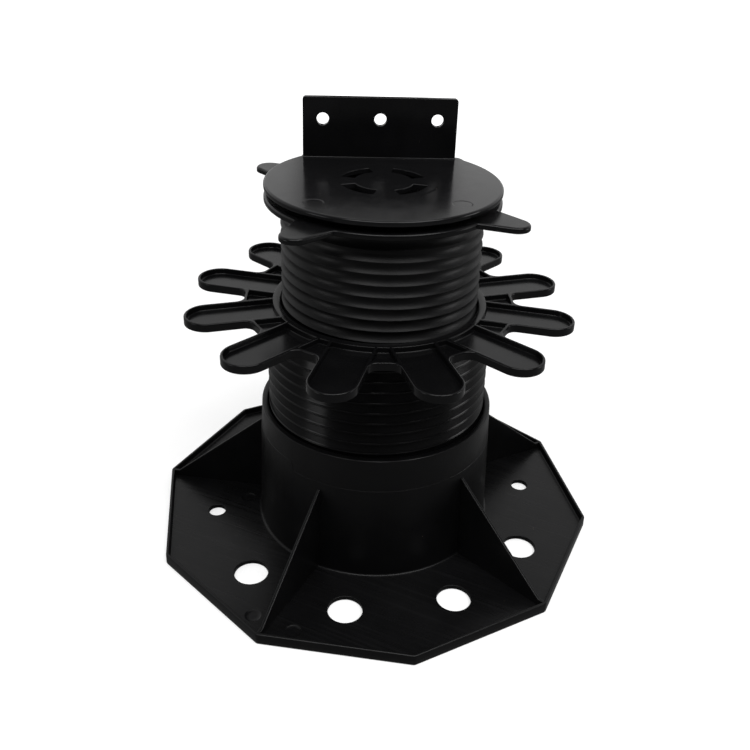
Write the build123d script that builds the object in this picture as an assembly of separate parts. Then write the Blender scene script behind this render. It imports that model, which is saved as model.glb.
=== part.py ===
from build123d import *
import math
import os

# An adjustable decking pedestal: a ten-sided base with a collar, a coupler with a finger wheel that screws
# into the collar, an upper tube that screws into the coupler, and a head disc with an upright plate that
# snaps into the top of the upper tube. The tubes and bores are measured to the crests of their fine threads.
# Millimetres, +Z up, with the origin on the axis of the pedestal at the underside of the base.

# Upper tube
TUBE_R = 43.7
TUBE_WALL = 3.9
TUBE_LENGTH = 60.0

# Flange of the upper tube, with its four turning tabs
FLANGE_OVERHANG = 6.8
FLANGE_T = 2.5
TAB_COUNT = 4
TAB_TURN = 47.8
TAB_REACH = 17.0
TAB_ROOT_W = 18.8
TAB_TIP_W = 12.0
SEAT_R = 25.5
SEAT_CLEARANCE = 0.2

# Coupler tube
THREAD_CLEARANCE = 0.5
COUPLER_WALL = 6.15
COUPLER_LENGTH = 60.0

# Finger wheel of the coupler
FINGER_COUNT = 12
FINGER_TURN = 7.2
FINGER_W = 20.0
FINGER_REACH = 26.2
WHEEL_T = 3.75
WHEEL_WALL = 1.2
POCKET_DEPTH = 2.5
HUB_RING_W = 3.5
WEB_W = 12.5
WEB_CORNER_R = 4.5

# Base: ten-sided plate, lip, collar, gussets and holes
BASE_SIDES = 10
BASE_CORNER_REACH = 105.0
BASE_PLATE_T = 2.0
LIP_H = 5.1
LIP_T = 1.5
COLLAR_H = 62.35
COLLAR_WALL = 2.85
COLLAR_TAPER = 1.9
GUSSET_COUNT = 5
GUSSET_T = 1.4
GUSSET_TOP_Z = 43.5
GUSSET_LIP_RUN = 2.5
HOLE_CIRCLE_R = 77.0
LARGE_HOLE_D = 15.0
SMALL_HOLE_D = 8.0

# Head: disc, upright plate and snap hooks
HEAD_TURN = -6.3
DISC_GAP = 2.85
DISC_T = 2.45
SLOT_COUNT = 4
SLOT_INNER_R = 12.8
SLOT_W = 5.9
SLOT_SPAN = 56.0
HOOK_R = 12.1
HOOK_T = 1.9
HOOK_W = 8.6
HOOK_CATCH = 1.6
HOOK_TIP_H = 3.0
HOOK_CLEARANCE = 0.3
PLATE_W = 69.4
PLATE_H = 27.4
PLATE_T = 2.8
PLATE_CORNER_R = 1.5
PLATE_FRONT_Y = 32.9
PLATE_HOLE_D = 5.55
PLATE_HOLE_SPACING = 25.75
PLATE_HOLE_DROP = 9.9

# How far each screw is wound out as the pedestal stands
COUPLER_RISE = 47.4
TUBE_RISE = 46.55

# Radii, each worked out from the piece inside it
TUBE_BORE_R = TUBE_R - TUBE_WALL
FLANGE_R = TUBE_R + FLANGE_OVERHANG
COUPLER_BORE_R = TUBE_R + THREAD_CLEARANCE
COUPLER_R = COUPLER_BORE_R + COUPLER_WALL
HUB_RING_R = COUPLER_BORE_R + HUB_RING_W
WEB_R = HUB_RING_R + WEB_W
WHEEL_R = WEB_R + FINGER_REACH
COLLAR_BORE_R = COUPLER_R + THREAD_CLEARANCE
COLLAR_TOP_R = COLLAR_BORE_R + COLLAR_WALL
COLLAR_FOOT_R = COLLAR_TOP_R + COLLAR_TAPER

# Heights, from the ground up
WHEEL_Z = COLLAR_H + COUPLER_RISE
WHEEL_TOP_Z = WHEEL_Z + WHEEL_T
COUPLER_FOOT_Z = WHEEL_Z - COUPLER_LENGTH
FLANGE_Z = WHEEL_TOP_Z + TUBE_RISE
FLANGE_TOP_Z = FLANGE_Z + FLANGE_T
TUBE_FOOT_Z = FLANGE_Z - TUBE_LENGTH
DISC_Z = FLANGE_TOP_Z + DISC_GAP
DISC_TOP_Z = DISC_Z + DISC_T
PLATE_TOP_Z = DISC_TOP_Z + PLATE_H

BOTTOM = (Align.CENTER, Align.CENTER, Align.MIN)


def disc(radius, low, high):
    """A round slab between two heights."""
    return Pos(0, 0, low) * Cylinder(radius, high - low, align=BOTTOM)


def around(shape, count, turn=0.0):
    """Copies of a shape, evenly spaced round the axis, the first one turned by `turn` degrees."""
    return [Rot(0, 0, turn + 360 / count * i) * shape for i in range(count)]


def upright(outline, thickness):
    """An outline drawn in radius and height, thickened evenly about the plane it is drawn in."""
    return extrude(Plane.XZ * outline, thickness / 2, both=True)


def make_base():
    """Ten-sided plate with an upstanding lip, and a tapered collar with a gusset to every other corner."""
    outline = RegularPolygon(BASE_CORNER_REACH, BASE_SIDES, rotation=90)
    tray = offset(outline, -LIP_T, kind=Kind.INTERSECTION)
    base = extrude(outline, LIP_H) - Pos(0, 0, BASE_PLATE_T) * extrude(tray, LIP_H)
    base += Pos(0, 0, BASE_PLATE_T / 2) * Cone(
        COLLAR_FOOT_R, COLLAR_TOP_R, COLLAR_H - BASE_PLATE_T / 2, align=BOTTOM
    )
    lip_inside = BASE_CORNER_REACH - LIP_T / math.cos(math.pi / BASE_SIDES)
    gusset = make_face(
        Polyline(
            (COLLAR_BORE_R + COLLAR_WALL / 2, BASE_PLATE_T / 2),
            (lip_inside, BASE_PLATE_T / 2),
            (lip_inside, LIP_H),
            (lip_inside - GUSSET_LIP_RUN, LIP_H),
            (COLLAR_TOP_R + COLLAR_TAPER / 2, GUSSET_TOP_Z),
            (COLLAR_BORE_R + COLLAR_WALL / 2, GUSSET_TOP_Z),
            close=True,
        )
    )
    base += around(upright(gusset, GUSSET_T), GUSSET_COUNT, turn=90)
    base -= disc(COLLAR_BORE_R, 0, COLLAR_H)
    large = disc(LARGE_HOLE_D / 2, 0, LIP_H)
    small = disc(SMALL_HOLE_D / 2, 0, LIP_H)
    for i in range(BASE_SIDES):
        hole = small if i % (BASE_SIDES // 2) == 0 else large
        base -= Rot(0, 0, 360 / BASE_SIDES * i) * Pos(HOLE_CIRCLE_R, 0, 0) * hole
    return base


def finger(half_width, tip_r):
    """A finger of the wheel: straight sides from the axis outwards and a round end."""
    bar = Rectangle(tip_r - half_width, 2 * half_width, align=(Align.MIN, Align.CENTER))
    return bar + Pos(tip_r - half_width, 0) * Circle(half_width)


def make_wheel():
    """Wheel of round-ended fingers, each hollowed from above, round a plain ring that joins the tube."""
    fingers = Sketch() + around(finger(FINGER_W / 2, WHEEL_R), FINGER_COUNT, FINGER_TURN)
    hollows = Circle(WEB_R - WHEEL_WALL) - fingers
    hollows += around(finger(FINGER_W / 2 - WHEEL_WALL, WHEEL_R - WHEEL_WALL), FINGER_COUNT, FINGER_TURN)
    hollows -= Circle(HUB_RING_R)
    plan = fingers + Circle(WEB_R)
    corners = plan.vertices().filter_by(lambda v: abs(math.hypot(v.X, v.Y) - WEB_R) < 0.01)
    web_gap = 2 * WEB_R * math.sin(math.pi / FINGER_COUNT) - FINGER_W
    plan = fillet(corners, min(WEB_CORNER_R, 0.45 * web_gap))
    wheel = Pos(0, 0, WHEEL_Z) * extrude(plan, WHEEL_T)
    return wheel - Pos(0, 0, WHEEL_TOP_Z - POCKET_DEPTH) * extrude(hollows, WHEEL_T)


def make_coupler():
    """Tube with the finger wheel round its upper end, bored to carry the upper tube."""
    coupler = disc(COUPLER_R, COUPLER_FOOT_Z, WHEEL_Z) + make_wheel()
    return coupler - disc(COUPLER_BORE_R, COUPLER_FOOT_Z, WHEEL_TOP_Z)


def make_upper_tube():
    """Tube closed on top by a flange with four turning tabs and a raised seat for the head."""
    tip_r = TAB_TIP_W / 2
    root_x = math.sqrt(FLANGE_R**2 - (TAB_ROOT_W / 2) ** 2)
    tab = make_hull(
        [
            *Line((root_x, TAB_ROOT_W / 2), (root_x, -TAB_ROOT_W / 2)).edges(),
            *(Pos(FLANGE_R + TAB_REACH - tip_r, 0) * Circle(tip_r)).edges(),
        ]
    )
    plan = Circle(FLANGE_R) + around(tab, TAB_COUNT, TAB_TURN)
    tube = Pos(0, 0, FLANGE_Z) * extrude(plan, FLANGE_T)
    tube += disc(TUBE_R, TUBE_FOOT_Z, FLANGE_Z)
    tube -= disc(TUBE_BORE_R, TUBE_FOOT_Z, FLANGE_Z)
    tube += disc(SEAT_R, FLANGE_Z, DISC_Z - SEAT_CLEARANCE)
    return tube - disc(SLOT_INNER_R + HOOK_CLEARANCE, FLANGE_Z, DISC_Z)


def sector(inner, outer, span):
    """A ring piece between two radii, centred on +X and `span` degrees wide."""
    reach = outer / math.cos(math.radians(span / 2))
    rise = reach * math.sin(math.radians(span / 2))
    wedge = make_face(Polyline((0, 0), (outer, rise), (outer, -rise), close=True))
    return (Circle(outer) - Circle(inner)) & wedge


def make_head():
    """Disc with an upright plate across it, and snap hooks that reach down through the flange."""
    head = disc(FLANGE_R, DISC_Z, DISC_TOP_Z)
    slot = Pos(0, 0, DISC_Z) * extrude(sector(SLOT_INNER_R, SLOT_INNER_R + SLOT_W, SLOT_SPAN), DISC_T)
    head -= around(slot, SLOT_COUNT, 180 / SLOT_COUNT)
    catch_z = FLANGE_Z - HOOK_CLEARANCE
    hook = make_face(
        Polyline(
            (HOOK_R - HOOK_T, DISC_Z + DISC_T / 2),
            (HOOK_R, DISC_Z + DISC_T / 2),
            (HOOK_R, catch_z),
            (HOOK_R + HOOK_CATCH, catch_z),
            (HOOK_R, catch_z - HOOK_TIP_H),
            (HOOK_R - HOOK_T, catch_z - HOOK_TIP_H),
            close=True,
        )
    )
    head += around(upright(hook, HOOK_W), SLOT_COUNT, 180 / SLOT_COUNT)
    foot = DISC_TOP_Z - DISC_T / 2
    panel = Pos(0, foot) * Rectangle(PLATE_W, PLATE_TOP_Z - foot, align=(Align.CENTER, Align.MIN))
    panel = fillet(panel.vertices().group_by(Axis.Y)[-1], PLATE_CORNER_R)
    for x in (-PLATE_HOLE_SPACING, 0, PLATE_HOLE_SPACING):
        panel -= Pos(x, PLATE_TOP_Z - PLATE_HOLE_DROP) * Circle(PLATE_HOLE_D / 2)
    head += Pos(0, PLATE_FRONT_Y + PLATE_T / 2, 0) * upright(panel, PLATE_T)
    return Rot(0, 0, HEAD_TURN) * head


os.makedirs("parts", exist_ok=True)
PIECES = {
    "base": make_base(),
    "coupler": make_coupler(),
    "upper_tube": make_upper_tube(),
    "head": make_head(),
}
for name, piece in PIECES.items():
    export_step(piece, f"parts/{name}.step")
    print(name, round(piece.volume), "mm3")
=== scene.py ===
# %% [markdown]
# # A decking pedestal in black plastic
#
# The object is a support for a raised deck. Four mouldings stack up on one axis: a ten-sided base with a
# collar, a coupler with a wheel of twelve fingers, a threaded upper tube with four turning tabs, and a head
# disc with an upright plate for the joist. All of it is the same black plastic, so the shapes and the sheen
# have to carry the picture.
#
# The packed frame gives the plain solids, in metres. Every piece below is worked out in millimetres in the
# same frame, and takes the place of its solid with the fine detail added: threads, rounded edges, marks.

# %% Load the packed frame
import math

import bmesh
import bpy
import numpy as np
from mathutils import Matrix, Vector
from mathutils.geometry import delaunay_2d_cdt


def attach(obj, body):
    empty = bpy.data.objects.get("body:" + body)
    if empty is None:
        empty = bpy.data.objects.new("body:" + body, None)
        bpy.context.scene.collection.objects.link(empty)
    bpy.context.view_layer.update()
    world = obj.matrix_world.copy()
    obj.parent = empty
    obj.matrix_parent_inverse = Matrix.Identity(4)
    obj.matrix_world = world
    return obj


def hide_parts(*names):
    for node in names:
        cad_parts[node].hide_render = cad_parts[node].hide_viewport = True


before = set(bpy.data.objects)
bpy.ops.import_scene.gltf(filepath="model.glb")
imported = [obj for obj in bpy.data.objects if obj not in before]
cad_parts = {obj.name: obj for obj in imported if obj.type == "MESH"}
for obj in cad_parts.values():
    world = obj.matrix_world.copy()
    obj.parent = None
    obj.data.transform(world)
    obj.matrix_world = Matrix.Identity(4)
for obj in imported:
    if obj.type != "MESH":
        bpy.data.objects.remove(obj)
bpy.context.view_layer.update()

MM = 0.001

# %% [markdown]
# ## The camera
#
# The picture was taken from a little left of the front and from above, with the camera tipped down about
# 26 degrees and rolled about 2 degrees. Those angles could be set by eye with the camera's rotation fields.
# Here the three axes of the camera are built from them instead, because then each number says what it is: a
# heading, a tip and a roll.

# %% Camera
HEADING, TIP, ROLL = math.radians(10.952), math.radians(25.779), math.radians(-2.216)
EYE = Vector((-64.13, -347.55, 279.18)) * MM
SENSOR, LENS = 36.0, 41.74
SHIFT_X, SHIFT_Y = -0.0149, -0.0905


def camera_axes(heading, tip, roll):
    """Look direction from heading and tip, then right and up turned about it by the roll."""
    look = Vector((math.sin(heading) * math.cos(tip), math.cos(heading) * math.cos(tip), -math.sin(tip)))
    level = Vector((math.cos(heading), -math.sin(heading), 0))
    below = look.cross(level)
    right = math.cos(roll) * level + math.sin(roll) * below
    down = -math.sin(roll) * level + math.cos(roll) * below
    return right, -down, -look


camera = bpy.data.objects.new("camera", bpy.data.cameras.new("camera"))
bpy.context.collection.objects.link(camera)
camera.matrix_world = Matrix.Translation(EYE) @ Matrix(camera_axes(HEADING, TIP, ROLL)).transposed().to_4x4()
camera.data.sensor_width, camera.data.lens = SENSOR, LENS
camera.data.shift_x, camera.data.shift_y = SHIFT_X, SHIFT_Y
bpy.context.scene.camera = camera
print("camera lens", LENS, "mm, eye", [round(v, 3) for v in EYE])

# %% [markdown]
# ## Finishes as sums
#
# A material could be wired by hand, one node after another. Written as sums of masks it reads like a recipe,
# so a small class wraps a socket and lets Python's signs add the Math nodes. Every other node comes from one
# method that takes the node's type, its settings and the values of its sockets.

# %% Shader sums


class Wire:
    """A socket that can stand in a sum. Each sign adds one Math node."""

    def __init__(self, finish, socket):
        self.finish, self.socket = finish, socket

    def _maths(self, how, first, second):
        return self.finish.add("Math", {"operation": how}, {0: first, 1: second})

    def __add__(self, other):
        return self._maths("ADD", self, other)

    def __radd__(self, other):
        return self._maths("ADD", other, self)

    def __sub__(self, other):
        return self._maths("SUBTRACT", self, other)

    def __rsub__(self, other):
        return self._maths("SUBTRACT", other, self)

    def __mul__(self, other):
        return self._maths("MULTIPLY", self, other)


class Finish:
    """A procedural material that is still being put together."""

    def __init__(self, name):
        self.material = bpy.data.materials.new(name)
        self.material.use_nodes = True
        self.tree = self.material.node_tree
        self.tree.nodes.clear()

    def add(self, kind, settings=(), values=(), out=0):
        """One node: its settings first, then a value or a link for each named socket."""
        node = self.tree.nodes.new("ShaderNode" + kind)
        for key, value in dict(settings).items():
            setattr(node, key, value)
        for key, value in dict(values).items():
            if isinstance(value, Wire):
                self.tree.links.new(value.socket, node.inputs[key])
            else:
                node.inputs[key].default_value = value
        return Wire(self, node.outputs[out]) if node.outputs else None

    def place(self):
        """Where a point of the piece is, in metres."""
        return self.add("TexCoord", out="Object")

    def height(self):
        """How high a point of the piece is above the ground, in metres."""
        return self.add("SeparateXYZ", {}, {0: self.place()}, out=2)

    def ramp(self, value, low, high):
        """0 below low, 1 above high and a smooth step between them."""
        values = {"Value": value, "From Min": low, "From Max": high}
        return self.add("MapRange", {"interpolation_type": "SMOOTHSTEP"}, values)

    def near(self, centre, radius, soft):
        """1 within a radius of a point and 0 beyond it, in millimetres."""
        ends = {0: self.place(), 1: [v * MM for v in centre]}
        far = self.add("VectorMath", {"operation": "DISTANCE"}, ends, out="Value")
        return 1 - self.ramp(far, (radius - soft) * MM, radius * MM)

    def noise(self, scale, detail, place=None):
        """Soft random clouds from 0 to 1, with about `scale` of them to the metre."""
        return self.add("TexNoise", {}, {"Vector": place or self.place(), "Scale": scale, "Detail": detail})

    def drawn_out(self, turn, length, width):
        """Places for a noise that is drawn out along one direction on the flat, in millimetres."""
        size = (length * MM, width * MM, length * MM)
        values = {"Vector": self.place(), "Rotation": (0, 0, turn), "Scale": size}
        return self.add("Mapping", {"vector_type": "TEXTURE"}, values)

    def specks(self, scale, share, radius):
        """1 on tiny round specks, at most one in each cell and only in a share of the cells. There are
        `scale` cells to the metre, and the radius is in millimetres."""
        cells = {"Vector": self.place(), "Scale": scale}
        away = self.add("TexVoronoi", {}, cells)
        lot = self.add("SeparateColor", {}, {0: self.add("TexVoronoi", {}, cells, out="Color")})
        rim = radius * scale * MM
        return (1 - self.ramp(away, rim * 0.6, rim)) * self.ramp(lot, 1 - share, 1 - share + 0.01)

    def mixed(self, share, first, second):
        """Two colours: the first where the share is 0, the second where it is 1."""
        settings = {"data_type": "RGBA", "clamp_factor": True}
        return self.add("Mix", settings, {0: share, 6: first, 7: second}, out=2)


print("shader sums:", [name for name in vars(Finish) if not name.startswith("_")])

# %% [markdown]
# ## The black plastic
#
# The real thing is moulded polypropylene with carbon black. It is almost black, a little less so where the
# skin is scuffed, and its sheen is soft and broad. A single dark colour looks like a hole in the picture. So
# the colour wanders a little in large clouds, the roughness wanders in small ones, and a very fine bump
# breaks up the reflections. Beige dust sits here and there, as it does on anything black.

# %% Black plastic
BLACK = (0.0026, 0.0026, 0.0028, 1)
# The lighter black: random clouds and scuff marks, and also the painted sheen on the head disc.
SCUFFED_AND_PAINTED_SHEEN = (0.006, 0.006, 0.0064, 1)
DUST = (0.30, 0.25, 0.20, 1)
SHEEN, GLOSS_IOR = 0.15, 1.49
COARSE_DUST, FINE_DUST = (150, 0.05, 0.16), (420, 0.02, 0.09)
GRAIN, GRAIN_HIGH = 0.25, 0.05 * MM


def black_plastic(name, rough, marks=None):
    """Two blacks mixed by clouds, dust over them, and clouds in the roughness and the bump. `marks` may add
    its own lighter share of colour (scuff marks, and on the head disc a painted sheen), roughness and
    height: it is given the finish and returns the three."""
    finish = Finish(name)
    scuffs_and_painted_sheen, extra_rough, height = marks(finish) if marks else (0.0, 0.0, 0.0)
    dust = finish.specks(*COARSE_DUST) + finish.specks(*FINE_DUST)
    # The lighter share: random clouds, the marks' scuff marks and, on the head disc, a painted sheen.
    clouds = finish.ramp(finish.noise(45, 4), 0.40, 0.75) * 0.35 + scuffs_and_painted_sheen
    colour = finish.mixed(dust, finish.mixed(clouds, BLACK, SCUFFED_AND_PAINTED_SHEEN), DUST)
    roughness = rough + (finish.noise(160, 3) - 0.5) * 0.12 + extra_rough + dust * 0.4
    fine = finish.noise(2600, 2) * 0.6 + finish.noise(700, 2) * 0.4
    bump = finish.add("Bump", {}, {"Strength": GRAIN, "Distance": GRAIN_HIGH, "Height": fine + height})
    skin = {"Base Color": colour, "Roughness": roughness, "Normal": bump}
    skin |= {"IOR": GLOSS_IOR, "Specular IOR Level": SHEEN}
    finish.add("OutputMaterial", {}, {"Surface": finish.add("BsdfPrincipled", {}, skin)})
    print("finish", name, "with", len(finish.tree.nodes), "nodes")
    return finish.material


print("black", BLACK[:3], "to", SCUFFED_AND_PAINTED_SHEEN[:3])

# %% [markdown]
# ## Tools for mouldings
#
# Nearly every form here is a closed outline seen from above, with an edge that rolls over from the flat top
# to the upright side. So one tool carries a small profile along an outline: each station of the profile is a
# distance inwards and a height, and the outline is moved inwards by that distance with its corners kept
# sharp. Flats between outlines are closed by a triangulation that knows about holes. An extra station a
# hair's breadth from each edge keeps the flats looking flat under smooth shading.

# %% Outline tools
HAIR = 0.06


def arc(x, y, radius, start, end, count):
    """Points on a circle about (x, y), from one angle to another in degrees."""
    a = np.radians(np.linspace(start, end, count + 1))
    return np.stack([x + radius * np.cos(a), y + radius * np.sin(a)], 1)


def ring(radius, count=240, x=0.0, y=0.0):
    """A closed circle, anticlockwise."""
    return arc(x, y, radius, 0, 360, count)[:-1]


def turned(points, degrees):
    """Points turned about the upright axis."""
    a = math.radians(degrees)
    out = np.array(points, float)
    out[..., 0] = points[..., 0] * math.cos(a) - points[..., 1] * math.sin(a)
    out[..., 1] = points[..., 0] * math.sin(a) + points[..., 1] * math.cos(a)
    return out


def inset(outline, distance):
    """The outline moved inwards: each corner goes along the sum of its two edge normals, over one plus
    their dot product, which keeps both edges at the same distance."""
    edge = np.roll(outline, -1, 0) - outline
    edge /= np.linalg.norm(edge, axis=1, keepdims=True)
    normal = np.stack([-edge[:, 1], edge[:, 0]], 1)
    before = np.roll(normal, 1, 0)
    spread = 1 + (normal * before).sum(1, keepdims=True)
    return outline + distance * (normal + before) / spread


def rolled(top, bottom, radius_top, radius_bottom, inward=1, steps=4):
    """Stations of an edge from the flat top, over a quarter circle, down the side and round to the flat
    underside. `inward` is -1 for a hole, whose flats lie outside its outline."""
    a = np.radians(np.linspace(0, 90, steps + 1))
    over = [(radius_top * (1 - math.sin(t)), top - radius_top * (1 - math.cos(t))) for t in a]
    under = [(radius_bottom * (1 - math.cos(t)), bottom + radius_bottom * (1 - math.sin(t))) for t in a]
    stations = [(radius_top + HAIR, top), *over, (0, top - radius_top - HAIR)]
    stations += [(0, bottom + radius_bottom + HAIR), *under, (radius_bottom + HAIR, bottom)]
    return [(inward * d, z) for d, z in stations]


print("a rolled edge has", len(rolled(1, 0, HAIR, HAIR)), "stations")

# %% [markdown]
# The pieces of one moulding are gathered in a `Moulding`: it keeps the points and the faces, closes flats,
# merges the points where two surfaces meet and turns all faces outwards.

# %% Moulding
# The triangulation's kind of output, and how near two of its points are the same one, in millimetres.
INSIDE_WITHOUT_HOLES, TOUCHING = 2, 1e-5
# The same nearness in the finished mesh, in metres, and the length of an edge that counts as nothing.
MERGED, SLIVER = 2e-6, 1e-7
SHARP = math.radians(35)


class Moulding:
    """Surfaces of one moulded piece, in millimetres, gathered before they become a mesh."""

    def __init__(self):
        self.points, self.faces, self.count = [], [], 0

    def _take(self, points, faces):
        self.points.append(points)
        self.faces.extend((np.asarray(faces) + self.count).tolist())
        self.count += len(points)

    def grid(self, surface, meets=None):
        """A surface of rows and columns whose columns run once round. `meets` says which row each row
        comes back to after a full turn, for threads; without it each row meets itself."""
        rows, columns, _ = surface.shape
        home = np.arange(rows) if meets is None else meets
        index = np.arange(rows * columns).reshape(rows, columns)
        index = np.concatenate([index, (home * columns)[:, None]], 1)
        quads = np.stack([index[:-1, :-1], index[:-1, 1:], index[1:, 1:], index[1:, :-1]], 2)
        self._take(surface.reshape(-1, 3), quads.reshape(-1, 4))

    def edge(self, outline, stations, put=None):
        """A profile carried along an outline. Station (d, z) is the outline moved d inwards, at height z."""
        rows = [np.column_stack([inset(outline, d), np.full(len(outline), z)]) for d, z in stations]
        surface = np.stack(rows)
        self.grid(put(surface) if put else surface)

    def flat(self, loops, z, put=None):
        """A flat at one height inside the first loop and outside all the others."""
        corners = np.concatenate(loops)
        starts = np.cumsum([0] + [len(loop) for loop in loops])
        spans = [list(range(a, b)) for a, b in zip(starts[:-1], starts[1:])]
        outline, holes = spans[0], [span[::-1] for span in spans[1:]]
        places, loops = [Vector(c) for c in corners], [outline, *holes]
        done = delaunay_2d_cdt(places, [], loops, INSIDE_WITHOUT_HOLES, TOUCHING)
        points = np.column_stack([np.array(done[0]), np.full(len(done[0]), z)])
        self._take(put(points) if put else points, done[2])

    def slab(self, outline, holes, top, bottom, roll, put=None):
        """A plate between two heights with rolled edges, outside and round each hole."""
        self.edge(outline, rolled(top, bottom, roll, roll), put)
        for hole in holes:
            self.edge(hole, rolled(top, bottom, roll, roll, -1), put)
        flat_at = roll + HAIR
        loops = [inset(outline, flat_at)] + [inset(hole, -flat_at) for hole in holes]
        self.flat(loops, top, put)
        self.flat(loops, bottom, put)

    def piece(self, name, body, node, material):
        """The finished piece: merged, facing outwards, smooth but for its sharp edges, riding on its body in
        place of the plain solid."""
        mesh = bpy.data.meshes.new(name)
        mesh.from_pydata((np.concatenate(self.points) * MM).tolist(), [], self.faces)
        made = bmesh.new()
        made.from_mesh(mesh)
        bmesh.ops.remove_doubles(made, verts=made.verts, dist=MERGED)
        bmesh.ops.dissolve_degenerate(made, edges=made.edges, dist=SLIVER)
        bmesh.ops.recalc_face_normals(made, faces=made.faces)
        loose = sum(not e.is_manifold for e in made.edges)
        made.to_mesh(mesh)
        made.free()
        mesh.shade_smooth()
        mesh.set_sharp_from_angle(angle=SHARP)
        mesh.materials.append(material)
        piece = bpy.data.objects.new(name, mesh)
        bpy.context.collection.objects.link(piece)
        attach(piece, body)
        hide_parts(node)
        mesh.calc_loop_triangles()
        print(name, len(mesh.loop_triangles), "triangles,", loose, "open edges")


print("edges sharper than", round(math.degrees(SHARP)), "degrees stay crisp")

# %% [markdown]
# ## Threads
#
# A screw thread is a saw-tooth section that climbs by one pitch in each turn. A plain stack of rings would
# cut the crest at a slant and show steps. Here the rows of the grid climb with the thread instead, so a row
# always lies on the same line of the tooth, and after a full turn each row meets the row one pitch on.
# Heights past the ends of the tube are held at the ends, which closes the thread off square.
#
# Both threads have a crisp crest low down, a face that leans back over it and a dark groove under the next
# crest. The tube's faces are hollow and catch the light in broad bands. The coupler's are straight, so only
# its rounded crests shine, as thin lines.

# %% Thread surface
TURN_STEPS = 240
PITCH = 5.0


def tooth(depth, nose, ledge, run, groove_top, bend):
    """One pitch of a thread as (height above the crest, depth). A round nose of radius `nose` turns over by
    `ledge` degrees. From there to the height `run` the face falls back by 1 - (1 - h) ** bend, where h goes
    from 0 to 1: straight for a bend of 1, hollow for 2. The next crest's underside closes the groove."""
    a = np.radians([-60, -40, -20, 0, ledge / 3, ledge * 2 / 3, ledge])
    round_nose = [(nose * math.sin(t), nose * (1 - math.cos(t))) for t in a]
    start, behind = round_nose[-1]
    h = np.linspace(0, 1, 8)[1:]
    face = list(zip(start + (run - start) * h, behind + (depth - behind) * (1 - (1 - h) ** bend)))
    under = [(groove_top, depth), (groove_top + 0.12, depth * 0.93)]
    return [*round_nose[3:], *face, *under, *[(PITCH + z, d) for z, d in round_nose[:3]]]


def thread(low, high, crest_radius, section, hand, crest_at):
    """Rows that climb round a tube. The section gives (height above the crest, depth) along one pitch. A
    point's height is crest_at + hand * pitch * turn + its row's height, held between the tube's ends, and
    its radius is the crest radius less the depth there. Returns the surface and the rows' meeting list."""
    rise, depth = np.array(section).T
    first = math.floor((low - crest_at) / PITCH) - 2
    last = math.ceil((high - crest_at) / PITCH) + 2
    rows = (np.arange(first, last)[:, None] * PITCH + rise[None, :]).ravel()
    turn = np.arange(TURN_STEPS) / TURN_STEPS
    climb = crest_at + hand * PITCH * turn[None, :]
    z = np.clip(rows[:, None] + climb, low, high)
    along = np.mod(z - climb, PITCH)
    r = crest_radius - np.interp(along, [*rise, PITCH], [*depth, depth[0]])
    a = 2 * math.pi * turn[None, :]
    surface = np.stack([r * np.cos(a), r * np.sin(a), z], 2)
    meets = np.clip(np.arange(len(rows)) + hand * len(rise), 0, len(rows) - 1)
    return surface, meets


def lathe(profile):
    """A profile of (radius, height) points turned once round the axis."""
    r, z = np.array(profile, float).T
    a = 2 * math.pi * np.arange(TURN_STEPS) / TURN_STEPS
    wide = np.ones(TURN_STEPS)
    return np.stack([np.outer(r, np.cos(a)), np.outer(r, np.sin(a)), np.outer(z, wide)], 2)


def line_with_thread(moulding, profile, surface, meets):
    """The bore inside a threaded tube: a turned profile that runs on into the thread as one surface."""
    inner = lathe(profile)
    home = np.concatenate([np.arange(len(inner)), len(inner) + meets])
    moulding.grid(np.concatenate([inner, surface]), home)


print("pitch", PITCH, "mm,", TURN_STEPS, "steps a turn")

# %% [markdown]
# ## The upper tube
#
# The upper tube is screwed into the coupler by a left-handed thread. On top sits a flange with four tapering
# tabs, which a hand or a tool can push against. The flange could be cut from a disc. As an outline with
# rolled edges it needs no cutting at all.

# %% Upper tube
TUBE_R, TUBE_BORE_R = 43.7, 39.8
TUBE_FOOT, FLANGE_Z, FLANGE_TOP = 100.05, 160.05, 162.55
FLANGE_R, FLANGE_ROLL, FLANGE_LOW_ROLL = 50.5, 1.0, 0.35
TABS, TAB_REACH, TAB_TIP_R, TAB_ROOT, TAB_TURN = 4, 17.0, 6.0, 9.4, 47.8
SEAT_R, SEAT_FILLET, SEAT_TOP = 25.5, 0.9, 165.2
SEAT_WELL_R, WELL_Z, SEAT_BORE_R = 20.5, 161.6, 13.1
EASE, FOOT_CHAMFER, CEILING_CHAMFER = 0.3, 0.4, 0.8
TUBE_TOOTH = tooth(depth=1.5, nose=0.15, ledge=40, run=3.3, groove_top=4.2, bend=1.8)
TUBE_CREST_AT = 2.0


def tab_outline():
    """The flange's circle, with a tab at each quarter: two straight sides that meet the circle at the root
    and touch a round tip."""
    quarter = 360 / TABS
    root_x = math.sqrt(FLANGE_R**2 - TAB_ROOT**2)
    tip_x = FLANGE_R + TAB_REACH - TAB_TIP_R
    away = math.hypot(tip_x - root_x, TAB_ROOT)
    lean = math.degrees(math.atan2(TAB_ROOT, tip_x - root_x) - math.asin(TAB_TIP_R / away))
    root = math.degrees(math.atan2(TAB_ROOT, root_x))
    side = np.array([[root_x, -TAB_ROOT]])
    tip = arc(tip_x, 0, TAB_TIP_R, lean - 90, 90 - lean, 20)
    rim = arc(0, 0, FLANGE_R, root, quarter - root, 36)[:-1]
    one = np.concatenate([side, tip, rim])
    return np.concatenate([turned(one, TAB_TURN + quarter * k) for k in range(TABS)])


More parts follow.
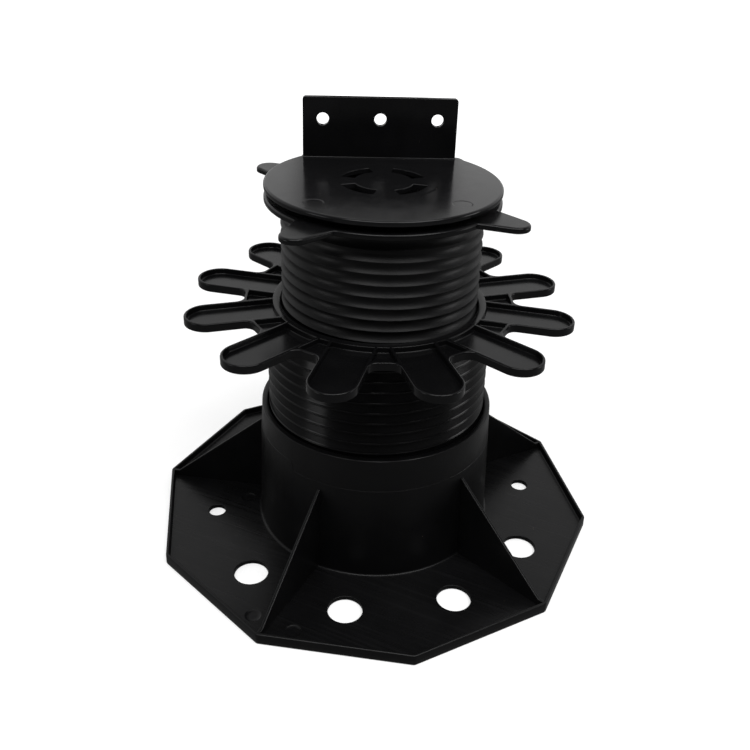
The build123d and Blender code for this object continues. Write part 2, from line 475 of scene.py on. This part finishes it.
def make_tube():
    """Thread, bore, ceiling and seat in one closed surface, and the flange's edge and flats round it."""
    tube = Moulding()
    profile = [
        (SEAT_R + SEAT_FILLET, FLANGE_TOP),
        (SEAT_R + 0.25, FLANGE_TOP + 0.15),
        (SEAT_R, FLANGE_TOP + 0.7),
        (SEAT_R, SEAT_TOP - EASE),
        (SEAT_R - EASE, SEAT_TOP),
        (SEAT_WELL_R, SEAT_TOP),
        (SEAT_WELL_R - EASE, WELL_Z),
        (SEAT_BORE_R + EASE, WELL_Z),
        (SEAT_BORE_R, WELL_Z - EASE),
        (SEAT_BORE_R, FLANGE_Z),
        (TUBE_BORE_R - CEILING_CHAMFER, FLANGE_Z),
        (TUBE_BORE_R, FLANGE_Z - CEILING_CHAMFER),
        (TUBE_BORE_R, TUBE_FOOT + FOOT_CHAMFER),
        (TUBE_BORE_R + FOOT_CHAMFER, TUBE_FOOT),
    ]
    surface, meets = thread(TUBE_FOOT, FLANGE_Z, TUBE_R, TUBE_TOOTH, -1, TUBE_CREST_AT)
    line_with_thread(tube, profile, surface, meets)
    outline = tab_outline()
    tube.edge(outline, rolled(FLANGE_TOP, FLANGE_Z, FLANGE_ROLL, FLANGE_LOW_ROLL))
    tube.flat([inset(outline, FLANGE_ROLL + HAIR), ring(SEAT_R + SEAT_FILLET)], FLANGE_TOP)
    tube.flat([inset(outline, FLANGE_LOW_ROLL + HAIR), surface[-1, :, :2]], FLANGE_Z)
    return tube


def tube_marks(finish):
    """The flange and its tabs came from a smoother part of the mould than the thread did."""
    smoother = -0.13
    on_flange = finish.ramp(finish.height(), (FLANGE_Z - 0.4) * MM, FLANGE_Z * MM)
    return 0.0, on_flange * smoother, 0.0


tube_finish = black_plastic("black_plastic_tube", rough=0.38, marks=tube_marks)
make_tube().piece("threaded_tube_with_tabs", "upper_tube", "upper_tube", tube_finish)

# %% [markdown]
# ## The coupler and its finger wheel
#
# The coupler carries a right-handed thread. The wheel on top is turned by pushing a fingertip against one of
# its twelve fingers. To save plastic each finger is hollowed from above, and so is each web between two
# fingers, which leaves walls a little over a millimetre thick. This is the part of the object that takes the
# most care: twenty-four pockets, all with rolled edges, in a wheel whose outline turns twelve round tips and
# twelve U-shaped gaps.

# %% Finger wheel outlines
WHEEL_Z, WHEEL_TOP, POCKET_Z = 109.75, 113.5, 111.0
HUB_BORE_R, HUB_R, WEB_R, WHEEL_R = 44.2, 47.7, 60.2, 86.4
FINGER_HALF, WALL, WEB_CORNER = 10.0, 1.2, 4.5
FINGERS, FINGER_TURN = 12, 7.2
STEP = 360 / FINGERS


def wheel_outline():
    """One finger's outline, repeated: out of the gap by a quarter-round corner, along a straight side, round
    the tip and back the same way."""
    y = FINGER_HALF + WEB_CORNER
    x = math.sqrt((WEB_R + WEB_CORNER) ** 2 - y**2)
    inwards = math.degrees(math.atan2(y, -x))
    corner = arc(x, -y, WEB_CORNER, inwards, 90, 9)
    tip = arc(WHEEL_R - FINGER_HALF, 0, FINGER_HALF, -90, 90, 28)
    far_corner = corner[::-1] * [1, -1]
    one = np.concatenate([corner, tip, far_corner])
    return np.concatenate([turned(one, FINGER_TURN + STEP * k) for k in range(FINGERS)])


def finger_pocket():
    """The hollow of a finger: two straight sides, a round end, and the hub's ring as its foot."""
    half, end = FINGER_HALF - WALL, WHEEL_R - FINGER_HALF
    swing = math.degrees(math.asin(half / HUB_R))
    return np.concatenate([arc(end, 0, half, -90, 90, 24), arc(0, 0, HUB_R, swing, -swing, 12)])


def web_pocket():
    """The hollow between two fingers: the web's arc outside, the hub's arc inside and a finger's wall at
    either side. A corner is where a circle of that radius crosses the wall's line."""
    outer, side = WEB_R - WALL, STEP / 2
    wide = side - math.degrees(math.asin(FINGER_HALF / outer))
    narrow = side - math.degrees(math.asin(FINGER_HALF / HUB_R))
    return np.concatenate([arc(0, 0, outer, -wide, wide, 8), arc(0, 0, HUB_R, narrow, -narrow, 6)])


print("wheel outline", len(wheel_outline()), "points")

# %% Coupler
COUPLER_R, COUPLER_FOOT = 50.35, 49.75
COUPLER_TOOTH = tooth(depth=1.4, nose=0.5, ledge=60, run=4.15, groove_top=4.25, bend=1)
COUPLER_CREST_AT = -0.15
WHEEL_ROLL, WHEEL_LOW_ROLL, WALL_ROLL, POCKET_FILLET = 0.6, 0.3, 0.4, 0.5
HUB_FLAT_R = HUB_R - 1.2
POCKET_EDGE = [
    (-WALL_ROLL - HAIR, WHEEL_TOP),
    (-WALL_ROLL, WHEEL_TOP),
    (-0.2, WHEEL_TOP - 0.05),
    (-0.07, WHEEL_TOP - 0.17),
    (0, WHEEL_TOP - 0.42),
    (0.05, POCKET_Z + 0.6),
    (0.1, POCKET_Z + 0.3),
    (0.2, POCKET_Z + 0.12),
    (0.36, POCKET_Z + 0.02),
    (POCKET_FILLET, POCKET_Z),
    (POCKET_FILLET + HAIR, POCKET_Z),
]


def make_coupler():
    """The threaded tube and the hub's bore in one surface, then the wheel's rim, its pockets and flats."""
    coupler = Moulding()
    profile = [
        (HUB_FLAT_R, WHEEL_TOP),
        (HUB_BORE_R + 0.55, WHEEL_TOP),
        (HUB_BORE_R + 0.2, WHEEL_TOP - 0.15),
        (HUB_BORE_R, WHEEL_TOP - 0.5),
        (HUB_BORE_R, COUPLER_FOOT + FOOT_CHAMFER),
        (HUB_BORE_R + FOOT_CHAMFER, COUPLER_FOOT),
    ]
    surface, meets = thread(COUPLER_FOOT, WHEEL_Z, COUPLER_R, COUPLER_TOOTH, 1, COUPLER_CREST_AT)
    line_with_thread(coupler, profile, surface, meets)
    outline = wheel_outline()
    coupler.edge(outline, rolled(WHEEL_TOP, WHEEL_Z, WHEEL_ROLL, WHEEL_LOW_ROLL))
    pockets = [turned(finger_pocket(), FINGER_TURN + STEP * k) for k in range(FINGERS)]
    pockets += [turned(web_pocket(), FINGER_TURN + STEP * (k + 0.5)) for k in range(FINGERS)]
    for pocket in pockets:
        coupler.edge(pocket, POCKET_EDGE)
        coupler.flat([inset(pocket, POCKET_FILLET + HAIR)], POCKET_Z)
    mouths = [inset(pocket, -WALL_ROLL - HAIR) for pocket in pockets]
    coupler.flat([inset(outline, WHEEL_ROLL + HAIR), *mouths, ring(HUB_FLAT_R)], WHEEL_TOP)
    coupler.flat([inset(outline, WHEEL_LOW_ROLL + HAIR), surface[-1, :, :2]], WHEEL_Z)
    return coupler


coupler_finish = black_plastic("black_plastic_coupler", rough=0.2)
make_coupler().piece("coupler_with_finger_wheel", "coupler", "coupler", coupler_finish)

# %% [markdown]
# ## The base
#
# A ten-sided plate with an upstanding lip, a collar that tapers upwards, and five gussets that run from the
# collar to every other corner. The plate has eight large holes and two small ones, and a few shallow round
# marks where ejector pins pushed it out of the mould. The mould's cutter left fine streaks across the plate,
# all in one direction. They are far too fine for geometry, so they go into the finish.

# %% Base outline and rows
CORNERS, CORNER_REACH, CORNER_ROUND = 10, 105.0, 2.8
CORNER_STEP = 360 / CORNERS
PLATE_TOP, PLATE_EDGE = 2.0, 0.4
LIP_TOP, LIP_T, LIP_FILLET = 5.1, 1.5, 0.7
COLLAR_TOP, COLLAR_BORE_R, COLLAR_RIM_R, COLLAR_FOOT_R = 62.35, 50.85, 53.7, 55.6
COLLAR_FOOT_Z, COLLAR_FILLET, BORE_CHAMFER = 1.0, 1.1, 0.5
LINE_Z, LINE_STEP, LINE_RISE, LEFT_FROM, LEFT_TO = 46.9, 0.12, 4.4, 90, -142
HOLE_CIRCLE, LARGE_HOLE_R, SMALL_HOLE_R = 77.0, 7.5, 4.0
HOLE_ROLL, HOLE_LOW_ROLL = 0.3, 0.2
GUSSETS = [18, 90, 162, -126, -54]
GUSSET_T, GUSSET_TOP, GUSSET_TOP_R, GUSSET_OFF_LIP, GUSSET_ROLL = 1.4, 43.5, 54.6, 2.6, 0.35
PIN_MARKS, PIN_MARK_R = [(-61.5, 7.9), (-46.6, -82.1), (-62.5, -71.1)], 3.5
BOWL_WIDE, BOWL_DEEP = 1.6, 0.4


def base_outline():
    """Ten flats with a round corner between each two: the corner's centre lies where both flats are one
    corner radius away."""
    half = math.pi / CORNERS
    centre = CORNER_REACH - CORNER_ROUND / math.cos(half)
    swing = math.degrees(half)
    corner = arc(centre, 0, CORNER_ROUND, -swing, swing, 6)
    return np.concatenate([turned(corner, 90 + CORNER_STEP * k) for k in range(CORNERS)])


def plate_holes():
    """The ten holes on one circle, the small ones at either end of the X axis."""
    radii = [SMALL_HOLE_R if k % 5 == 0 else LARGE_HOLE_R for k in range(CORNERS)]
    return [turned(ring(r, 48, HOLE_CIRCLE), CORNER_STEP * k) for k, r in enumerate(radii)]


def pin_marks():
    """Shallow round marks, where ejector pins pushed the plate out of the mould."""
    return [ring(PIN_MARK_R, 32, x, y) for x, y in PIN_MARKS]


def taper(z):
    """The collar's radius at a height: it changes evenly from the foot's to the rim's."""
    share = (z - COLLAR_FOOT_Z) / (COLLAR_TOP - COLLAR_FOOT_Z)
    return COLLAR_FOOT_R + (COLLAR_RIM_R - COLLAR_FOOT_R) * share


def collar_rows():
    """The collar from the plate up, over the rim and down the bore. A mould line steps it in by about a
    tenth of a millimetre, and lies a little higher on the left than on the right."""
    foot = [
        (taper(PLATE_TOP) + COLLAR_FILLET + HAIR, PLATE_TOP),
        (taper(PLATE_TOP) + COLLAR_FILLET, PLATE_TOP),
        (taper(PLATE_TOP + 0.1) + 0.62, PLATE_TOP + 0.08),
        (taper(PLATE_TOP + 0.3) + 0.28, PLATE_TOP + 0.32),
        (taper(PLATE_TOP + 0.7) + 0.07, PLATE_TOP + 0.7),
        (taper(PLATE_TOP + 1.2), PLATE_TOP + 1.2),
    ]
    line = [(taper(LINE_Z), LINE_Z), (taper(LINE_Z) - LINE_STEP, LINE_Z + 0.15)]
    rim = [
        (taper(COLLAR_TOP - 0.55) - LINE_STEP, COLLAR_TOP - 0.55),
        (COLLAR_RIM_R - LINE_STEP, COLLAR_TOP - 0.25),
        (COLLAR_RIM_R - 0.34, COLLAR_TOP - 0.04),
        (COLLAR_RIM_R - 0.55, COLLAR_TOP),
        (COLLAR_BORE_R + 0.6, COLLAR_TOP),
        (COLLAR_BORE_R + 0.25, COLLAR_TOP - 0.15),
        (COLLAR_BORE_R, COLLAR_TOP - 0.55),
    ]
    bore = [
        (COLLAR_BORE_R, BORE_CHAMFER),
        (COLLAR_BORE_R + BORE_CHAMFER, 0),
        (COLLAR_BORE_R + BORE_CHAMFER + HAIR, 0),
    ]
    surface = lathe(foot + line + rim + bore)
    azimuth = np.degrees(np.arctan2(surface[0, :, 1], surface[0, :, 0]))
    left = (azimuth > LEFT_FROM) | (azimuth < LEFT_TO)
    surface[len(foot):len(foot) + len(line), :, 2] += LINE_RISE * left
    return surface


print("base outline", len(base_outline()), "points,", len(pin_marks()), "pin marks")

# %% Base
LIP_STATIONS = [
    (LIP_T + LIP_FILLET + HAIR, PLATE_TOP),
    (LIP_T + LIP_FILLET, PLATE_TOP),
    (LIP_T + 0.4, PLATE_TOP + 0.05),
    (LIP_T + 0.18, PLATE_TOP + 0.2),
    (LIP_T + 0.05, PLATE_TOP + 0.5),
    (LIP_T, PLATE_TOP + 0.9),
    (LIP_T - 0.1, LIP_TOP - 0.4),
    (LIP_T - 0.2, LIP_TOP - 0.15),
    (LIP_T - 0.4, LIP_TOP),
    (0.5, LIP_TOP),
    (0.28, LIP_TOP - 0.06),
    (0.12, LIP_TOP - 0.2),
    (0.06, LIP_TOP - 0.45),
    (0, 0.5),
    (0.12, 0.15),
    (PLATE_EDGE, 0),
    (PLATE_EDGE + HAIR, 0),
]
BOWL_STATIONS = [
    (-HAIR, PLATE_TOP),
    (0, PLATE_TOP),
    (0.3, PLATE_TOP - 0.2),
    (0.8, PLATE_TOP - 0.34),
    (BOWL_WIDE, PLATE_TOP - BOWL_DEEP),
    (BOWL_WIDE + HAIR, PLATE_TOP - BOWL_DEEP),
]


def gusset_outline():
    """A gusset seen from the side, in radius and height, running a little into the collar, plate and lip."""
    lip_in = CORNER_REACH - LIP_T / math.cos(math.pi / CORNERS)
    in_collar, in_plate, in_lip, end = COLLAR_RIM_R - 1.4, PLATE_TOP - 1, lip_in + 0.2, LIP_TOP - 0.1
    foot = [(in_collar, in_plate), (in_lip, in_plate), (in_lip, end), (lip_in - GUSSET_OFF_LIP, end)]
    return np.array([*foot, (GUSSET_TOP_R, GUSSET_TOP), (in_collar, GUSSET_TOP)])


def stood_up(points, turn):
    """Points drawn in radius, height and thickness, stood upright and turned about the axis."""
    return turned(np.stack([points[..., 0], -points[..., 2], points[..., 1]], -1), turn)


def make_base():
    """Collar, plate edge with its lip, holes, pin marks and flats, then the five gussets."""
    base = Moulding()
    collar = collar_rows()
    base.grid(collar)
    outline, holes, marks = base_outline(), plate_holes(), pin_marks()
    base.edge(outline, LIP_STATIONS)
    for hole in holes:
        base.edge(hole, rolled(PLATE_TOP, 0, HOLE_ROLL, HOLE_LOW_ROLL, -1))
    for mark in marks:
        base.edge(mark, BOWL_STATIONS)
        base.flat([inset(mark, BOWL_WIDE + HAIR)], PLATE_TOP - BOWL_DEEP)
    mouths = [inset(hole, -HOLE_ROLL - HAIR) for hole in holes] + [inset(mark, -HAIR) for mark in marks]
    base.flat([inset(outline, LIP_T + LIP_FILLET + HAIR), *mouths, collar[0, :, :2]], PLATE_TOP)
    feet = [inset(hole, -HOLE_LOW_ROLL - HAIR) for hole in holes]
    base.flat([inset(outline, PLATE_EDGE + HAIR), *feet, collar[-1, :, :2]], 0)
    half = GUSSET_T / 2
    for turn in GUSSETS:
        base.slab(gusset_outline(), [], half, -half, GUSSET_ROLL, put=lambda p: stood_up(p, turn))
    return base


def base_marks(finish):
    """Cutter streaks on the plate: noise drawn out along one direction, on low ground only."""
    streaks = finish.noise(1.0, 5, finish.drawn_out(math.radians(-35), length=90, width=1.3))
    low = 1 - finish.ramp(finish.height(), (PLATE_TOP + 0.3) * MM, (PLATE_TOP + 0.8) * MM)
    return finish.ramp(streaks, 0.5, 0.7) * low * 0.5, (streaks - 0.5) * low * 0.3, streaks * low * 5


base_finish = black_plastic("black_plastic_base", rough=0.31, marks=base_marks)
make_base().piece("ten_sided_base_with_collar", "base", "base", base_finish)

# %% [markdown]
# ## The head
#
# The head is a disc with a rolled rim. Four curved slots lie over the snap hooks: the mould reaches through
# them to form the hooks' undersides. A plate with three screw holes stands across the back of the disc.

# %% Head outlines and rows
HEAD_TURN = -6.3
DISC_R, DISC_Z, DISC_TOP, DISC_ROLL, DISC_LOW_ROLL = 50.5, 165.4, 167.85, 1.0, 0.6
DISH_R, DISH_SLOPE, DISH_DEEP = 24.0, 1.3, 0.25
SLOT_IN, SLOT_OUT, SLOT_HALF = 12.8, 18.7, 28.0
PIN_R, PIN_AT, PIN_SLOPE, PIN_DEEP, PIN_TURNS = 4.1, 41.5, 0.25, 0.15, (-45, -135)
JOIST_Y, JOIST_T, JOIST_HALF, JOIST_ROUND, JOIST_ROLL = 32.9, 2.8, 34.7, 1.5, 0.4
PLATE_HIGH, SCREW_R, SCREW_GAP, SCREW_Z = 195.25, 2.775, 25.75, 185.35
HOOK_HALF, HOOK_ROLL, HOOK_IN, HOOK_OUT, HOOK_CATCH = 4.3, 0.2, 10.2, 12.1, 13.7
HOOK_FOOT, HOOK_LEDGE, HOOK_TOP = 156.75, 159.75, 166.6
QUARTERS = [HEAD_TURN + 45 + 90 * k for k in range(4)]
DIP = DISC_TOP - DISH_DEEP
DISH_STATIONS = [(-HAIR, DISC_TOP), (0, DISC_TOP), (0.5, DISC_TOP - 0.05), (DISH_SLOPE, DIP)]
DISH_STATIONS += [(DISH_SLOPE + HAIR, DIP)]
PIN_STATIONS = [(-HAIR, DISC_TOP), (0, DISC_TOP), (PIN_SLOPE, DISC_TOP - PIN_DEEP)]
PIN_STATIONS += [(PIN_SLOPE + HAIR, DISC_TOP - PIN_DEEP)]
WELD_IN = 0.4
WELD_STATIONS = [
    (WELD_IN, DISC_TOP - 0.4),
    (-0.5, DISC_TOP - 0.4),
    (-0.5, DISC_TOP + 0.02),
    (-0.2, DISC_TOP + 0.1),
    (-0.05, DISC_TOP + 0.25),
    (0.05, DISC_TOP + 0.6),
    (WELD_IN, DISC_TOP + 0.6),
]


def slot_outline(turn):
    """A ring piece between two radii with straight ends that point at the axis."""
    outer = arc(0, 0, SLOT_OUT, -SLOT_HALF, SLOT_HALF, 16)
    inner = arc(0, 0, SLOT_IN, SLOT_HALF, -SLOT_HALF, 12)
    return turned(np.concatenate([outer, inner]), turn)


def joist_plate_outline():
    """The upright plate from the front, with rounded top corners."""
    foot = DISC_TOP - 1.2
    x, z = JOIST_HALF - JOIST_ROUND, PLATE_HIGH - JOIST_ROUND
    left, right = arc(-x, z, JOIST_ROUND, 90, 180, 7), arc(x, z, JOIST_ROUND, 0, 90, 7)
    return np.concatenate([[(-JOIST_HALF, foot), (JOIST_HALF, foot)], right, left])


def hook_outline():
    """A snap hook seen from the side, in radius and height: a stem, and a slanting foot that catches."""
    foot = [(HOOK_IN, HOOK_FOOT), (HOOK_OUT, HOOK_FOOT), (HOOK_CATCH, HOOK_LEDGE), (HOOK_OUT, HOOK_LEDGE)]
    return np.array([(HOOK_IN, HOOK_TOP), *foot, (HOOK_OUT, HOOK_TOP)])


def set_back(points):
    """Points drawn across, up and through the plate, moved to the plate's place at the back of the disc."""
    across, up, through = points[..., 0], points[..., 1], points[..., 2]
    return turned(np.stack([across, JOIST_Y + JOIST_T / 2 - through, up], -1), HEAD_TURN)


print("slots and hooks at", QUARTERS, "degrees")

# %% Head
def add_disc(head):
    """The disc with its rolled rim, the dish round its slots, and two shallow pin marks."""
    rim, dish = ring(DISC_R), turned(ring(DISH_R, 96), HEAD_TURN)
    slots = [slot_outline(turn) for turn in QUARTERS]
    pins = [turned(ring(PIN_R, 40, PIN_AT), HEAD_TURN + turn) for turn in PIN_TURNS]
    head.edge(rim, rolled(DISC_TOP, DISC_Z, DISC_ROLL, DISC_LOW_ROLL, steps=6))
    head.edge(dish, DISH_STATIONS)
    for slot in slots:
        head.edge(slot, rolled(DIP, DISC_Z, HOLE_ROLL, HOLE_LOW_ROLL, -1))
    for pin in pins:
        head.edge(pin, PIN_STATIONS)
        head.flat([inset(pin, PIN_SLOPE + HAIR)], DISC_TOP - PIN_DEEP)
    mouths = [inset(slot, -HOLE_ROLL - HAIR) for slot in slots]
    head.flat([inset(dish, DISH_SLOPE + HAIR), *mouths], DIP)
    head.flat([inset(rim, DISC_ROLL + HAIR), *[inset(hollow, -HAIR) for hollow in (dish, *pins)]], DISC_TOP)
    feet = [inset(slot, -HOLE_LOW_ROLL - HAIR) for slot in slots]
    head.flat([inset(rim, DISC_LOW_ROLL + HAIR), *feet], DISC_Z)


def add_joist_plate(head):
    """The upright plate with its screw holes, and the small fillet that it stands in."""
    screws = [ring(SCREW_R, 48, x, SCREW_Z) for x in (-SCREW_GAP, 0, SCREW_GAP)]
    head.slab(joist_plate_outline(), screws, JOIST_T / 2, -JOIST_T / 2, JOIST_ROLL, put=set_back)
    wide, front, behind = JOIST_HALF, JOIST_Y, JOIST_Y + JOIST_T
    foot = turned(np.array([(-wide, front), (wide, front), (wide, behind), (-wide, behind)]), HEAD_TURN)
    head.edge(foot, WELD_STATIONS)
    for z in (WELD_STATIONS[0][1], WELD_STATIONS[-1][1]):
        head.flat([inset(foot, WELD_IN)], z)


def make_head():
    """The disc, the upright plate on it and the four snap hooks below."""
    head = Moulding()
    add_disc(head)
    add_joist_plate(head)
    for turn in QUARTERS:
        head.slab(hook_outline(), [], HOOK_HALF, -HOOK_HALF, HOOK_ROLL, put=lambda p: stood_up(p, turn))
    return head


def head_marks_and_painted_sheen(finish):
    """The gate mark in the middle and fine scratches on the disc only, and painted sheen: the whole disc
    lifted towards the lighter black.
    """
    middle = (0, 0, DIP)
    gate = finish.near(middle, 3.2, 1.4) - finish.near(middle, 2.2, 0.8)
    on_disc = 1 - finish.ramp(finish.height(), DISC_TOP * MM, (DISC_TOP + 0.5) * MM)
    lines = finish.noise(1.0, 2, finish.drawn_out(0.9, length=14, width=0.6))
    scratch = finish.ramp(lines, 0.68, 0.72) * on_disc
    # Painted sheen: on_disc * 0.5 lifts the whole disc towards the lighter black, to brighten its reflection
    # of the plate.
    return scratch * 0.6 + gate * 0.3 + on_disc * 0.5, scratch * 0.08, gate * 3


head_finish = black_plastic("black_plastic_head", rough=0.16, marks=head_marks_and_painted_sheen)
make_head().piece("head_disc_with_joist_plate", "head", "head", head_finish)

# %% [markdown]
# ## Floor and light
#
# Black plastic shows what it mirrors rather than its own colour. So the room is drawn by what it does in the
# mirror. A soft sky is bright behind and dim in front, with a low dim gap straight behind. Two lamps stand
# high up in front for the edges, and one stands low at either side. Where the camera itself looks, floor and
# sky are white, and the floor keeps a faint shadow.

# %% Floor
FLOOR_HALF, FLOOR_DROP = 3.0, 0.2 * MM
MIRRORED_GREY, SEEN_GREY, SEEN_GLOW = 0.20, 0.80, 1.5
GLOW_SHARE, SHADOW_SHARE, SHADOW_REACH, SHADOW_SOFT = 0.95, 0.62, 1000, 700

floor_finish = Finish("pale_floor")
seen = floor_finish.add("LightPath", out="Is Camera Ray")
paint = floor_finish.add("BsdfDiffuse", {}, {"Color": (MIRRORED_GREY,) * 3 + (1,)})
pale = floor_finish.add("BsdfDiffuse", {}, {"Color": (SEEN_GREY,) * 3 + (1,)})
glow = floor_finish.add("Emission", {}, {"Color": (1, 1, 1, 1), "Strength": SEEN_GLOW})
share = GLOW_SHARE - floor_finish.near((0, 0, 0), SHADOW_REACH, SHADOW_SOFT) * SHADOW_SHARE
pale = floor_finish.add("MixShader", {}, {0: share, 1: pale, 2: glow})
surface = floor_finish.add("MixShader", {}, {0: seen, 1: paint, 2: pale})
floor_finish.add("OutputMaterial", {}, {"Surface": surface})
floor_mesh = bpy.data.meshes.new("floor")
signs = [(-1, -1), (1, -1), (1, 1), (-1, 1)]
corners = [(x * FLOOR_HALF, y * FLOOR_HALF, -FLOOR_DROP) for x, y in signs]
floor_mesh.from_pydata(corners, [], [(0, 1, 2, 3)])
floor_mesh.materials.append(floor_finish.material)
floor = bpy.data.objects.new("floor", floor_mesh)
bpy.context.collection.objects.link(floor)
print("floor", 2 * FLOOR_HALF, "m wide,", len(floor_finish.tree.nodes), "nodes")

# %% Sky and lamps
FRONT, BEHIND, DIM = -0.4, 0.5, 0.07
GAP_ASIDE, GAP_IN, GAP_OUT, GAP_TOP, GAP_DIM = 0.02, 0.06, 0.10, (0.34, 0.40), 0.97
LAMPS_FACE = Vector((0, 0, 0.1))

world = bpy.data.worlds.new("studio")
bpy.context.scene.world = world
world.use_nodes = True


class Sky(Finish):
    """The world's nodes, put together in the same way as a finish."""

    def __init__(self, world):
        self.tree = world.node_tree
        self.tree.nodes.clear()


sky = Sky(world)
heading = sky.add("TexCoord", out="Generated")
back = sky.add("SeparateXYZ", {}, {0: heading}, out="Y")
up = sky.add("SeparateXYZ", {}, {0: heading}, out="Z")
level = (math.cos(HEADING), -math.sin(HEADING), 0)
aside = sky.add("VectorMath", {"operation": "DOT_PRODUCT"}, {0: heading, 1: level}, out="Value")
aside = aside + GAP_ASIDE
gap = (1 - sky.ramp(aside * aside, GAP_IN**2, GAP_OUT**2)) * (1 - sky.ramp(up, *GAP_TOP))
shine = (sky.ramp(back, FRONT, BEHIND) * (1 - DIM) + DIM) * (1 - gap * GAP_DIM)
studio = sky.add("Background", {}, {"Color": (1, 1, 1, 1), "Strength": shine})
white = sky.add("Background", {}, {"Color": (1, 1, 1, 1), "Strength": 1.0})
seen = sky.add("LightPath", out="Is Camera Ray")
sky.add("OutputWorld", {}, {"Surface": sky.add("MixShader", {}, {0: seen, 1: studio, 2: white})})


def soft_lamp(name, azimuth, elevation, distance, size, power):
    """A square lamp that faces the middle of the object from a direction, in degrees, at a distance."""
    a, e = math.radians(azimuth), math.radians(elevation)
    away = Vector((math.cos(a) * math.cos(e), math.sin(a) * math.cos(e), math.sin(e)))
    lamp = bpy.data.objects.new(name, bpy.data.lights.new(name, "AREA"))
    lamp.data.size = size
    lamp.data.energy = power
    lamp.location = LAMPS_FACE + away * distance
    lamp.rotation_euler = away.to_track_quat("Z", "Y").to_euler()
    bpy.context.collection.objects.link(lamp)


soft_lamp("front_left", azimuth=-118, elevation=58, distance=1.0, size=0.5, power=5)
soft_lamp("front_right", azimuth=-55, elevation=58, distance=1.0, size=0.6, power=7)
soft_lamp("left", azimuth=-160, elevation=6, distance=1.2, size=0.4, power=1.8)
soft_lamp("right", azimuth=-14, elevation=6, distance=1.2, size=0.4, power=2.4)
bpy.context.scene.view_settings.view_transform = "Standard"

# %% [markdown]
# ## Sizes
#
# The pieces must stay inside the box of the plain solids.
